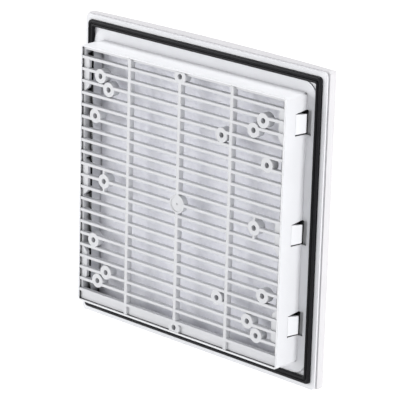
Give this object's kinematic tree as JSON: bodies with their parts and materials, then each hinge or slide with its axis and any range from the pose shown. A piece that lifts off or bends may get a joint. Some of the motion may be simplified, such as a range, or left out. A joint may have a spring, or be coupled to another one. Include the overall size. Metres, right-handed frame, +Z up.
{
  "type": "enclosure exhaust filter",
  "caption": "Square exhaust filter for an enclosure wall: slatted rear housing with snap tongues, seal, filter mat and a hinged louvre cover.",
  "frame": {"origin": "centre of the rear face of the seal, in the plane where the enclosure's panel meets it", "axes": "+Y points to the rear, through the panel cut-out into the enclosure; -Y faces the room; +Z is up; X runs across"},
  "size_m": [0.259, 0.0452, 0.259],
  "materials": {
    "housing_plastic": "light grey moulded ABS, fine satin",
    "cover_plastic": "light grey moulded ABS, fine satin",
    "seal_rubber": "black soft rubber strip",
    "mat_fleece": "white synthetic fleece",
    "pin_steel": "plain steel pin"
  },
  "bodies": {
    "frame": {"base_frame": "housing_plastic", "rear_grille": "housing_plastic", "panel_seal": "seal_rubber", "mat_retainer": "housing_plastic", "filter_mat": "mat_fleece", "support_grid": "housing_plastic"},
    "cover": {"louvre_cover": "cover_plastic", "hinge_pin_left": "pin_steel", "hinge_pin_right": "pin_steel"},
    "tongue_left_top": {"tongue_left_top": "housing_plastic"},
    "tongue_left_middle": {"tongue_left_middle": "housing_plastic"},
    "tongue_left_bottom": {"tongue_left_bottom": "housing_plastic"},
    "tongue_right_top": {"tongue_right_top": "housing_plastic"},
    "tongue_right_middle": {"tongue_right_middle": "housing_plastic"},
    "tongue_right_bottom": {"tongue_right_bottom": "housing_plastic"}
  },
  "joints": [
    {"name": "cover_hinge", "type": "hinge", "parent": "frame", "child": "cover", "pos_m": [0, -0.009, -0.126], "axis": [1, 0, 0], "range_deg": [0, 85]},
    {"name": "flex_left_top", "type": "hinge", "parent": "frame", "child": "tongue_left_top", "pos_m": [0.10925, 0.0096, 0.0867], "axis": [0, 0, -1], "range_deg": [0, 18], "stiffness_Nm_per_rad": 0.5},
    {"name": "flex_left_middle", "type": "hinge", "parent": "frame", "child": "tongue_left_middle", "pos_m": [0.10925, 0.0096, -0.002], "axis": [0, 0, -1], "range_deg": [0, 18], "stiffness_Nm_per_rad": 0.5},
    {"name": "flex_left_bottom", "type": "hinge", "parent": "frame", "child": "tongue_left_bottom", "pos_m": [0.10925, 0.0096, -0.077], "axis": [0, 0, -1], "range_deg": [0, 18], "stiffness_Nm_per_rad": 0.5},
    {"name": "flex_right_top", "type": "hinge", "parent": "frame", "child": "tongue_right_top", "pos_m": [-0.10925, 0.0096, 0.0867], "axis": [0, 0, 1], "range_deg": [0, 18], "stiffness_Nm_per_rad": 0.5},
    {"name": "flex_right_middle", "type": "hinge", "parent": "frame", "child": "tongue_right_middle", "pos_m": [-0.10925, 0.0096, -0.002], "axis": [0, 0, 1], "range_deg": [0, 18], "stiffness_Nm_per_rad": 0.5},
    {"name": "flex_right_bottom", "type": "hinge", "parent": "frame", "child": "tongue_right_bottom", "pos_m": [-0.10925, 0.0096, -0.077], "axis": [0, 0, 1], "range_deg": [0, 18], "stiffness_Nm_per_rad": 0.5}
  ]
}
